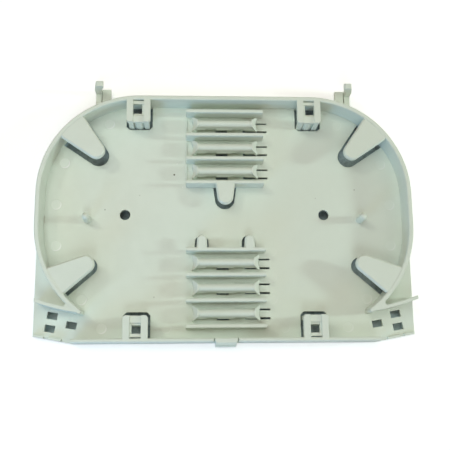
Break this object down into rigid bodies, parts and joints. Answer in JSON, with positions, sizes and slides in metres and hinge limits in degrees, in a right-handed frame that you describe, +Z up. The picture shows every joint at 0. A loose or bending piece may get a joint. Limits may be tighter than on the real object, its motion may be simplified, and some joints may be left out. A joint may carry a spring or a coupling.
{
  "type": "fibre splice tray",
  "caption": "One-piece plastic fibre splice tray: D-shaped wall, cable entries, ribbed sleeve holders, retaining tongues, cover clips, hinge lugs and a front latch.",
  "frame": {"origin": "on the underside of the floor, on the centre line and midway between the two sleeve holders", "axes": "+X along the long side to the right, +Y towards the hinge lugs, +Z up out of the open side"},
  "size_m": [0.1602, 0.1135, 0.0118],
  "materials": {
    "tray_plastic": "satin moulded, pale greenish grey"
  },
  "bodies": {
    "root": {"splice_tray": "tray_plastic"}
  },
  "joints": []
}
